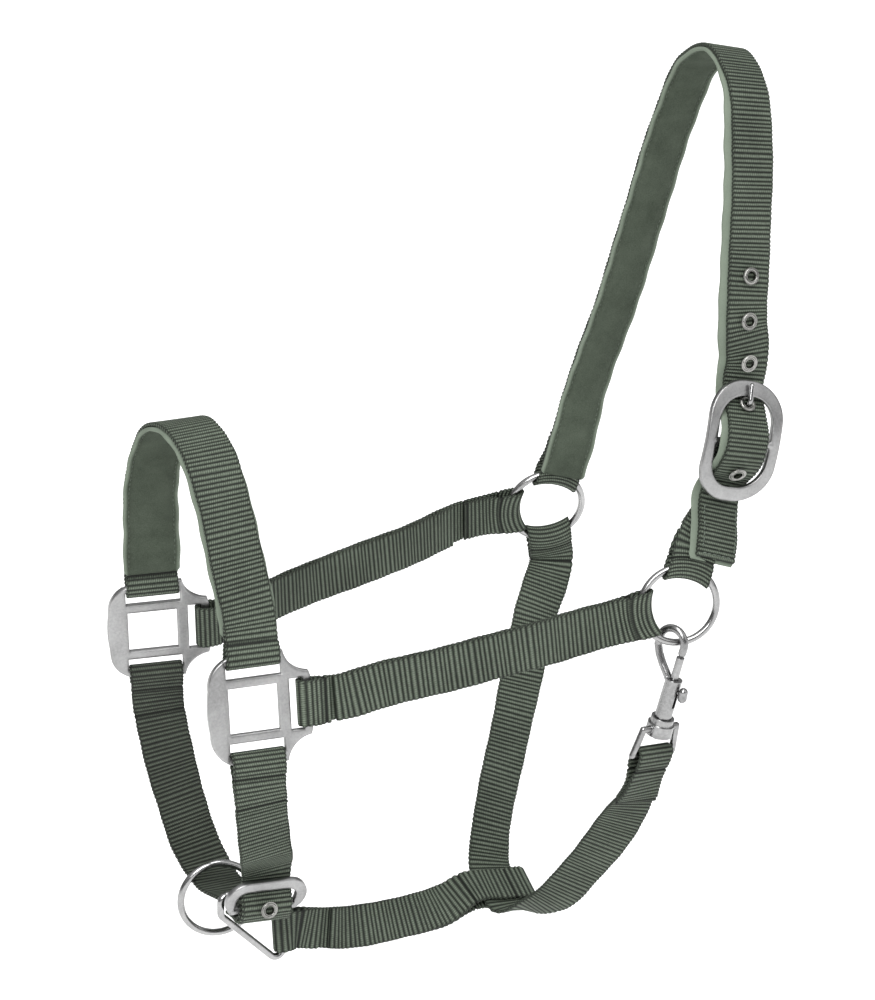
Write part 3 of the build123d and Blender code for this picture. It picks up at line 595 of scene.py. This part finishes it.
def stitches(name, rows, material):
    """Separate stitches along rows of (points, outward) as one piece."""
    vertices, faces = [], []
    shares = np.array([0.0, 0.15, 0.5, 0.85, 1.0])
    girth = STITCH_R * np.array([0.35, 0.85, 1.0, 0.85, 0.35])
    lift = STITCH_R * np.array([-1.4, -0.3, 0.2, -0.3, -1.4])
    turn = 2 * np.pi * np.arange(STITCH_SIDES) / STITCH_SIDES
    for points, outward in rows:
        run = distances(points)
        for start in np.arange(0.5, run[-1] - STITCH, STITCH_PITCH):
            at = start + shares * STITCH
            middle = sampled(at, run, points)
            out = unit(sampled(at, run, outward))
            side = np.cross(unit(np.gradient(middle, axis=0)), out)
            ring = (middle[:, None, :] + out[:, None, :] * lift[:, None, None]
                    + girth[:, None, None] * (out[:, None, :] * np.sin(turn)[None, :, None]
                                              + side[:, None, :] * np.cos(turn)[None, :, None]))
            first = len(vertices) * len(shares) * STITCH_SIDES
            vertices.append(ring.reshape(-1, 3))
            faces += [tuple(first + k for k in face)
                      for face in tube_faces(len(shares), STITCH_SIDES)]
    piece = mesh_piece(name, np.vstack(vertices), faces)
    piece.data.materials.append(MATERIALS[material])
    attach(piece, "halter")
    return piece


# ---------------------------------------------------------------- materials
class Graph:
    """Builds the shader nodes of a material or the world. Inputs are sockets or plain values."""

    def __init__(self, tree):
        self.nodes, self.links = tree.nodes, tree.links

    def node(self, kind):
        return self.nodes.new("ShaderNode" + kind)

    def feed(self, socket, value):
        if isinstance(value, bpy.types.NodeSocket):
            self.links.new(value, socket)
        else:
            socket.default_value = value

    def math(self, operation, a, b=None):
        node = self.node("Math")
        node.operation = operation
        self.feed(node.inputs[0], a)
        if b is not None:
            self.feed(node.inputs[1], b)
        return node.outputs[0]

    def add(self, a, b):
        return self.math("ADD", a, b)

    def less(self, a, b):
        return self.math("SUBTRACT", a, b)

    def times(self, a, b):
        return self.math("MULTIPLY", a, b)

    def wave(self, value):
        """0 to 1 and back once for each whole number."""
        return self.math("ABSOLUTE", self.math("SINE", self.times(value, math.pi)))

    def noise(self, scale, detail=3.0, roughness=0.55):
        """Noise over the object's own metres."""
        noise = self.node("TexNoise")
        noise.inputs["Scale"].default_value = scale
        noise.inputs["Detail"].default_value = detail
        noise.inputs["Roughness"].default_value = roughness
        self.feed(noise.inputs["Vector"], self.node("TexCoord").outputs["Object"])
        return noise.outputs["Fac"]

    def ramp(self, factor, stops):
        ramp = self.node("ValToRGB")
        elements = ramp.color_ramp.elements
        while len(elements) < len(stops):
            elements.new(0.5)
        for element, (place, color) in zip(elements, stops):
            element.position = place
            element.color = (*color, 1.0)
        self.feed(ramp.inputs["Fac"], factor)
        return ramp.outputs["Color"]

    def bump(self, height, strength, distance, normal=None):
        bump = self.node("Bump")
        bump.inputs["Strength"].default_value = strength
        bump.inputs["Distance"].default_value = distance
        self.feed(bump.inputs["Height"], height)
        if normal is not None:
            self.feed(bump.inputs["Normal"], normal)
        return bump.outputs["Normal"]

    def mix(self, share, face, border):
        """The colour socket `face` where share is 0, the plain colour `border` where it is 1."""
        node = self.node("Mix")
        node.data_type = "RGBA"
        color_a, color_b = node.inputs[6], node.inputs[7]
        self.feed(node.inputs["Factor"], share)
        self.feed(color_a, face)
        self.feed(color_b, (*border, 1.0))
        return node.outputs[2]

    def uv(self, layer_name):
        """The two values of a UV layer."""
        layer_node = self.node("UVMap")
        layer_node.uv_map = layer_name
        split = self.node("SeparateXYZ")
        self.feed(split.inputs[0], layer_node.outputs["UV"])
        return split.outputs[0], split.outputs[1]


def new_material(name):
    material = bpy.data.materials.new(name)
    material.use_nodes = True
    graph = Graph(material.node_tree)
    return material, graph, graph.nodes["Principled BSDF"].inputs


def webbing_material(name, dark, middle, light):
    """Nylon webbing: painted light on the ribs and painted shade in the gaps, painted highlights
    along the twisted yarn, and a braided border.
    """
    material, graph, shader = new_material(name)
    u, v = graph.uv("weave")
    inward, sunk = graph.uv("border")
    # Painted light and shade: lighter on each rib's crown and darker in the gap between ribs, with
    # painted highlights along the twisted yarn. The same pattern also drives the bump.
    rib = graph.math("POWER", graph.wave(u), 1.3)
    twist = graph.wave(graph.add(v, graph.times(u, 0.5)))
    yarn = graph.times(rib, graph.add(0.5, graph.times(twist, 0.5)))
    braid = graph.times(graph.wave(u), graph.wave(graph.add(v, u)))
    inner = graph.math("GREATER_THAN", inward, 0.55)
    border = graph.times(graph.times(braid, 0.8), graph.less(1.0, inner))
    weave = graph.add(graph.times(yarn, inner), border)
    fade = graph.noise(34.0)
    fleck = graph.noise(900.0, 2.0)
    tone = graph.add(weave, graph.times(graph.less(fade, 0.5), 0.35))
    tone = graph.add(tone, graph.times(graph.less(fleck, 0.5), 0.5))
    # Painted shade: darker where a sewn row sinks into the webbing.
    tone = graph.less(tone, graph.times(sunk, 0.6))
    color = graph.ramp(tone, [(0.05, dark), (0.5, middle), (1.0, light)])
    graph.feed(shader["Base Color"], color)
    graph.feed(shader["Roughness"], graph.add(0.55, graph.times(fleck, 0.25)))
    height = graph.add(weave, graph.times(fleck, 0.2))
    graph.feed(shader["Normal"], graph.bump(height, 0.9, 0.0006))
    shader["Specular IOR Level"].default_value = 0.3
    return material


def suede_material(name, dark, light, edge):
    """Brushed suede padding: soft nap with slow blotches, a fine grain and a paler border."""
    material, graph, shader = new_material(name)
    blotch = graph.noise(70.0, 5.0, 0.6)
    nap = graph.noise(1500.0, 3.0, 0.7)
    tone = graph.add(graph.times(blotch, 0.5), graph.times(nap, 0.5))
    face = graph.ramp(tone, [(0.3, dark), (0.7, light)])
    border, _ = graph.uv("weave")
    share = graph.times(border, graph.add(0.45, graph.times(tone, 0.9)))
    graph.feed(shader["Base Color"], graph.mix(share, face, edge))
    shader["Roughness"].default_value = 0.92
    shader["Specular IOR Level"].default_value = 0.15
    grain = graph.bump(nap, 0.5, 0.0002)
    graph.feed(shader["Normal"], graph.bump(blotch, 0.35, 0.0005, grain))
    return material


def thread_material(name, dark, light):
    """Sewing thread."""
    material, graph, shader = new_material(name)
    tone = graph.noise(1200.0, 2.0)
    graph.feed(shader["Base Color"], graph.ramp(tone, [(0.3, dark), (0.7, light)]))
    shader["Roughness"].default_value = 0.6
    graph.feed(shader["Normal"], graph.bump(tone, 0.5, 0.0002))
    return material


def metal_material(name, dark, light, low, high, grain, cast, edge=0.0):
    """Plated metal: tone and gloss vary slowly, over a fine tumbled grain.

    low and high bound the roughness. grain is how fine the tumbled grain is, and cast how deep.
    edge is the radius, in mm, that the shading gives to the casting's edges.
    """
    material, graph, shader = new_material(name)
    cloud = graph.noise(55.0, 4.0)
    fine = graph.noise(grain, 3.0, 0.65)
    tone = graph.add(graph.times(cloud, 0.6), graph.times(fine, 0.4))
    graph.feed(shader["Base Color"], graph.ramp(tone, [(0.3, dark), (0.7, light)]))
    graph.feed(shader["Roughness"], graph.add(low, graph.times(tone, high - low)))
    shader["Metallic"].default_value = 1.0
    rounded = None
    if edge:
        bevel = graph.node("Bevel")
        bevel.samples = 8
        bevel.inputs["Radius"].default_value = edge * MM
        rounded = bevel.outputs["Normal"]
    normal = graph.bump(fine, 0.12 * cast, 0.0002, rounded)
    graph.feed(shader["Normal"], graph.bump(cloud, 0.1 * cast, 0.0008, normal))
    return material


def satin(name, dark, light, low, high, grain, cast, edge=0.0):
    """Plated metal in two neutral greys."""
    return metal_material(name, (dark,) * 3, (light,) * 3, low, high, grain, cast, edge)


MATERIALS = {
    "webbing": webbing_material("web_green", (0.005, 0.007, 0.0045), (0.045, 0.057, 0.041),
                                (0.150, 0.180, 0.138)),
    # Painted shade: a darker copy of the webbing, for the off chin strap that lies in shadow.
    "shaded": webbing_material("web_green_painted_shade", (0.003, 0.004, 0.0025),
                               (0.026, 0.032, 0.023), (0.092, 0.110, 0.084)),
    # The suede's colours are partly its own and partly painted shade, darkened for the shadow
    # inside the halter.
    "suede": suede_material("pad_suede", (0.033, 0.042, 0.030), (0.074, 0.090, 0.068),
                            (0.172, 0.205, 0.162)),
    "thread": thread_material("web_thread", (0.030, 0.042, 0.030), (0.13, 0.16, 0.125)),
    "pad_thread": thread_material("pad_thread", (0.035, 0.046, 0.033), (0.08, 0.10, 0.075)),
    "cast": satin("cast_satin", 0.24, 0.42, low=0.28, high=0.42, grain=700.0, cast=1.0, edge=2.2),
    "wire": satin("wire_satin", 0.24, 0.44, low=0.14, high=0.28, grain=900.0, cast=0.6),
    "snap": satin("snap_plate", 0.17, 0.40, low=0.14, high=0.32, grain=500.0, cast=1.6, edge=0.6),
    "eyelet": metal_material("eyelet_plate", (0.18, 0.18, 0.17), (0.40, 0.40, 0.38),
                             low=0.18, high=0.34, grain=800.0, cast=0.8),
}


# ---------------------------------------------------------------- straps
FOLD_SEAM = 9.5         # from a fold on a bar or ring to the row that closes it
TAIL_SEAM = 2.5         # from the row that holds a folded tail down to its cut end
LOOP_SEAM = 36          # from the jaw strap's loop end to the row that closes the loop
WEB_SHORT = 1.8         # the crown webbing ends this much before its lining
EDGE_SEAM = 2.6         # from a strap's edge to a row sewn along it
TIP_SEAM = 4.5          # from the crown strap's free end to the row across it
TAIL_ROWS = -34         # below the crown buckle's middle, where the tail's edge rows start


def strap(name, route, width, start, end, tails, node, rib=RIB, more=(), outer_through=False,
          material="webbing"):
    """A strap folded at both ends, sewn across beside each fold and where `more` says."""
    path = folded(route, start, end, *tails, outer_through=outer_through)
    seams = (FOLD_SEAM, route.length - FOLD_SEAM, *more)
    return webbing(name, path, width, node, rib, seams, material)


def free_end(name, route, start, tail, width, node, short=0.0):
    """A strap folded at its start, whose other end is free."""
    doubled = (tail, SINGLE)
    head = layer(route, 1, 0, tail, start, None, doubled).reverse()
    through = layer(route, -1, 0, route.length - short, start, None, doubled)
    path = head + fold(route, False, start[0], 1, start == RING_END) + through
    return webbing(name, path, width, node, seams=(FOLD_SEAM, tail - TAIL_SEAM))


def all_straps():
    """Every strap's webbing, then the thread that stands on it."""
    length = near_cheek.length
    tails = (NEAR_CHEEK_TAIL, length - NEAR_CHEEK_TAIL - CHEEK_LAP[0])
    strap("near_cheek_web", near_cheek, WEB, BAR_END, RING_END, tails, "near_cheek_strap",
          WIDE_RIB)
    length = off_cheek.length
    tails = (length - OFF_CHEEK_TAIL - CHEEK_LAP[1], OFF_CHEEK_TAIL)
    strap("off_cheek_web", off_cheek, WEB, BAR_END, RING_END, tails, "off_cheek_strap", OFF_RIB,
          (length - OFF_CHEEK_TAIL + TAIL_SEAM,))
    strap("noseband_web", noseband, NOSE_WEB, BAR_END, BAR_END, (NOSE_TUCK, NOSE_TUCK),
          "noseband_strap", NOSE_RIB, outer_through=True)
    tails = (BUCKLE_TAIL, buckle_web.length - BUCKLE_TAIL - BUCKLE_LAP)
    strap("buckle_web", buckle_web, WEB, RING_END, BUCKLE_END, tails, "buckle_strap")
    # The off chin strap takes the darker webbing copy, its painted shade.
    strap("off_chin_web", off_chin, NOSE_WEB, BAR_END, BUCKLE_END, OFF_CHIN_TAILS,
          "off_chin_strap", RIB, (OFF_CHIN_TAILS[0] - TAIL_SEAM,), material="shaded")
    strap("jaw_web", jaw, JAW_WEB, LINK_END, LOOP_END, (JAW_TAIL, jaw.length - JAW_LAP),
          "jaw_strap", WIDE_RIB, (jaw.length - LOOP_SEAM,))
    rows = (THROAT_TAILS[0] - TAIL_SEAM, throat.length - THROAT_TAILS[1] + TAIL_SEAM)
    strap("throat_web", throat, WEB, RING_END, EYE_END, THROAT_TAILS, "throat_strap", RIB, rows)
    free_end("crown_web", crown, RING_END, CROWN_TAIL, WEB, "crown_strap", WEB_SHORT)
    free_end("near_chin_web", near_chin, BAR_END, CHIN_TAIL, NOSE_WEB, "near_chin_strap")
    all_stitches()


def all_stitches():
    """Thread that stands on the crown strap's tail and on the near cheek strap."""
    surface = PLY / 2 + 0.1
    tail = crown.run_near(CROWN_BUCKLE.at(0, TAIL_ROWS))
    tip = crown.length - TIP_SEAM
    half = WEB / 2 - EDGE_SEAM
    rows = [edge_row(crown, 1, v, tail, tip, surface) for v in (-half, half)]
    rows.append(cross_row(crown, 1, tip, half, surface))
    half = WEB / 2 - 2
    rows.append(cross_row(near_cheek, 1, FOLD_SEAM, half, surface + LAYER - 0.4))
    rows.append(cross_row(near_cheek, 1, near_cheek.length - FOLD_SEAM, half,
                          surface + LAYER + 0.6))
    stitches("web_stitches", rows, "thread")


# ---------------------------------------------------------------- padding
PAD_RIM = 3.2           # flattened, stitched border of a pad
PAD_STEP = 1.2          # between the sections of a pad
PUFF = 0.25             # how much the suede swells past the pad's nominal thickness
PUFF_STEPS = 12
PAD_TAPER = 7.0         # length over which a pad thins to its end
PALE_EDGE = 1.4         # width of the paler band along each edge
RIM_SHARE = 0.62        # the border's thickness, as a share of the pad's


def pad_depth(route, run, start, end, doubled, tucked):
    """How far inward of the strap's middle line the pad's webbing side lies."""
    offset = stand_off(route, run, start, end, doubled)
    if tucked:
        from_end = np.minimum(run, route.length - run)
        offset = offset * (1 - 2 * ease((from_end - tucked) / TUCK_EASE))
    return offset + PLY / 2 + PAD_GAP


def pad_section(width, thickness, puff):
    """Outline of a pad: across in mm, height in mm above its webbing side."""
    half = width / 2
    inner = half - PAD_RIM
    rim = thickness * RIM_SHARE
    border = [(half, rim * 0.3), (half, rim * 0.75), (half - 0.6, rim),
              (inner + 0.9, rim * 0.96), (inner, rim * 0.72)]
    points = [(-half + 0.5, 0.0), (half - 0.5, 0.0)] + border
    for k in range(1, PUFF_STEPS):
        t = k / PUFF_STEPS
        swell = math.sin(math.pi * t) ** 0.45
        points.append((inner - 2 * inner * t, rim * 0.9 + (thickness + puff - rim * 0.9) * swell))
    return np.array(points + [(-v, h) for v, h in border[::-1]])


def pad(name, route, width, low, high, start, end, doubled, node, tucked=None,
        lining_from=None):
    """A puffed pad on the inward side of a strap, thinned and stitched at its border.

    tucked is how far the webbing's tucked ends reach. Past lining_from the pad is thin, and
    stands out beyond the webbing's front edge.
    """
    run = np.arange(low, high, PAD_STEP)
    middle = sampled(run, route.run, route.middle)
    out = unit(sampled(run, route.run, route.out))
    across = unit(sampled(run, route.run, route.across))
    thin, shown = np.zeros(len(run)), np.zeros(len(run))
    if lining_from is not None:
        thin = ease((run - lining_from) / LINING_EASE)
        shown = LINING_SHOWS * ease((run - route.length * 0.5) / SHOW_EASE)
    depth = pad_depth(route, run, start, end, doubled, tucked) - 0.2 * thin
    section = pad_section(width, PAD, PUFF)
    v, h = section[:, 0], section[:, 1]
    from_end = np.minimum(run - low, high - PAD_STEP - run)
    rim = PAD * RIM_SHARE
    slope = ease(from_end / PAD_TAPER)[:, None]
    puffed = np.where(h[None, :] > rim, rim + (h[None, :] - rim) * slope, h[None, :])
    ripple = 0.12 * np.sin(run * 0.42) * np.sin(run * 0.13 + 1.0)
    puffed = puffed + ripple[:, None] * (h[None, :] > rim)
    puffed = puffed * (1 + (LINING / PAD - 1) * thin)[:, None]
    tuck = 1.4 * (1 - np.sqrt(np.clip(from_end / 1.6, 0, 1)))
    side = np.sign(v)[None, :]
    outer = np.abs(v)[None, :] > width / 2 - 1.5
    lateral = v[None, :] - side * tuck[:, None] * outer
    lateral = lateral + 0.25 * np.sin(run * 0.31)[:, None] * side
    lateral = lateral - shown[:, None] * np.clip(-v / (width / 2), 0, 1)[None, :]
    points = tube_points(middle, out, across, lateral, -(depth[:, None] + puffed))
    pale = np.clip((np.abs(v) - width / 2 + PALE_EDGE) / 0.8, 0, 1)
    piece = mesh_piece(name, points.reshape(-1, 3), tube_faces(len(run), len(v)),
                       [("weave", tube_uv(pale[None, :], run[:, None]))])
    piece.data.materials.append(MATERIALS["suede"])
    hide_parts(node)
    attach(piece, "halter")
    low_row, high_row = low + 3, lining_from or high - 3
    half = width / 2 - PAD_RIM + 0.2
    return [edge_row(route, -1, v, low_row, high_row,
                     lambda at: pad_depth(route, at, start, end, doubled, tucked) + rim * 0.74)
            for v in (-half, half)]


def all_padding():
    """Both pads and their rows of stitching."""
    low, high = NOSE_PAD_START, noseband.length - NOSE_PAD_START
    rows = pad("noseband_pad", noseband, NOSE_PAD_WIDTH, low, high, BAR_END, BAR_END,
               (NOSE_TUCK, NOSE_TUCK), "noseband_padding", tucked=NOSE_TUCK + 1)
    lining_from = crown.run_near(CROWN_BUCKLE.middle) - LINING_ABOVE
    rows += pad("crown_pad", crown, CROWN_PAD_WIDTH, CROWN_PAD_START, crown.length, RING_END, None,
                (CROWN_TAIL, SINGLE), "crown_padding", lining_from=lining_from)
    stitches("pad_stitches", rows, "pad_thread")


# ---------------------------------------------------------------- metal
def dress_metal():
    """Materials of the fittings, which are shown as their CAD solids."""
    dress = {
        "cast": ("near_square", "off_square", "crown_buckle_frame", "chin_buckle_frame"),
        "wire": ("near_cheek_ring", "off_cheek_ring", "chin_ring", "jaw_link",
                 "crown_buckle_tongue"),
        "snap": ("snap_body", "snap_bolt", "snap_swivel_eye", "snap_rivet"),
        "eyelet": ("crown_eyelets", "chin_eyelet"),
    }
    for material, names in dress.items():
        for name in names:
            node = nodes[name]
            node.data.materials.clear()
            node.data.materials.append(MATERIALS[material])


def add_spring():
    """Wire coil in the snap's barrel."""
    turns, around, steps = 7, 6, 20
    angle = np.linspace(0, 2 * np.pi * turns, turns * steps)
    height = np.linspace(*SPRING, len(angle))
    x, y, z = (np.array(axis) for axis in (SNAP.x, SNAP.y, SNAP.out))
    radial = x * np.cos(angle)[:, None] + z * np.sin(angle)[:, None]
    middle = np.array(SNAP.middle) + radial * SPRING_R + y * height[:, None]
    turn = 2 * np.pi * np.arange(around) / around
    wire = SPRING_WIRE_R * (radial[:, None, :] * np.cos(turn)[None, :, None]
                            + y[None, None, :] * np.sin(turn)[None, :, None])
    points = (middle[:, None, :] + wire).reshape(-1, 3)
    piece = mesh_piece("snap_coil", points, tube_faces(len(angle), around))
    piece.data.materials.append(MATERIALS["wire"])
    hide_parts("snap_spring")
    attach(piece, "snap")
    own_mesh(piece)


# ---------------------------------------------------------------- stage, light and camera (m)
AIM = Vector((0.1249, -0.0239, 0.0854))
TOWARDS_CAMERA = Vector((-0.3971, -0.8517, 0.3420))
CAMERA_DISTANCE = 2.5
LENS = 168.3
FLOOR_DROP = 0.30


def add_floor():
    """White floor that glows a little, so that it shows no edge against the background."""
    size = 30.0
    z = cad_box[0][2] - FLOOR_DROP
    mesh = bpy.data.meshes.new("floor")
    corners = [(-size, -size, z), (size, -size, z), (size, size, z), (-size, size, z)]
    mesh.from_pydata(corners, [], [(0, 1, 2, 3)])
    floor = bpy.data.objects.new("floor", mesh)
    bpy.context.scene.collection.objects.link(floor)
    material, _, shader = new_material("floor_white")
    shader["Base Color"].default_value = (0.92, 0.92, 0.92, 1)
    shader["Roughness"].default_value = 0.9
    shader["Specular IOR Level"].default_value = 0.0
    shader["Emission Color"].default_value = (1, 1, 1, 1)
    shader["Emission Strength"].default_value = 0.42
    mesh.materials.append(material)


def add_area_light(name, place, size, power):
    data = bpy.data.lights.new(name, "AREA")
    data.shape = "DISK"
    data.size = size
    data.energy = power
    light = bpy.data.objects.new(name, data)
    light.location = place
    light.rotation_euler = (AIM - Vector(place)).to_track_quat("-Z", "Y").to_euler()
    bpy.context.scene.collection.objects.link(light)


def add_sun(name, towards, strength, degrees):
    data = bpy.data.lights.new(name, "SUN")
    data.energy = strength
    data.angle = math.radians(degrees)
    light = bpy.data.objects.new(name, data)
    light.rotation_euler = Vector(towards).to_track_quat("Z", "Y").to_euler()
    bpy.context.scene.collection.objects.link(light)


def add_lights():
    """Soft daylight from the front left, a weaker fill, and panels that show in the metal."""
    add_sun("key", (-0.75, -1.0, 1.35), 1.9, 35)
    add_sun("fill", (1.0, -0.9, 0.7), 0.5, 50)
    add_area_light("left_panel", (-1.1, -1.4, 0.9), 0.6, 9)
    add_area_light("top_panel", (0.2, -0.3, 1.6), 0.7, 8)
    world = bpy.data.worlds.new("studio")
    world.use_nodes = True
    graph = Graph(world.node_tree)
    split = graph.node("SeparateXYZ")
    graph.feed(split.inputs[0], graph.node("TexCoord").outputs["Generated"])
    sky = graph.ramp(split.outputs[2], [
        (0.0, (0.16, 0.16, 0.16)), (0.35, (0.42, 0.42, 0.42)), (0.9, (1.0, 1.0, 1.0))])
    background = graph.nodes["Background"].inputs
    graph.feed(background["Color"], sky)
    background["Strength"].default_value = 0.75
    bpy.context.scene.world = world
    bpy.context.scene.view_settings.view_transform = "Standard"


def add_camera():
    data = bpy.data.cameras.new("camera")
    data.sensor_fit = "VERTICAL"
    data.sensor_height = 36.0
    data.lens = LENS
    data.clip_end = 100.0
    camera = bpy.data.objects.new("camera", data)
    camera.location = AIM + TOWARDS_CAMERA.normalized() * CAMERA_DISTANCE
    camera.rotation_euler = (-TOWARDS_CAMERA).to_track_quat("-Z", "Y").to_euler()
    bpy.context.scene.collection.objects.link(camera)
    bpy.context.scene.camera = camera


all_straps()
all_padding()
dress_metal()
add_spring()
add_floor()
add_lights()
add_camera()
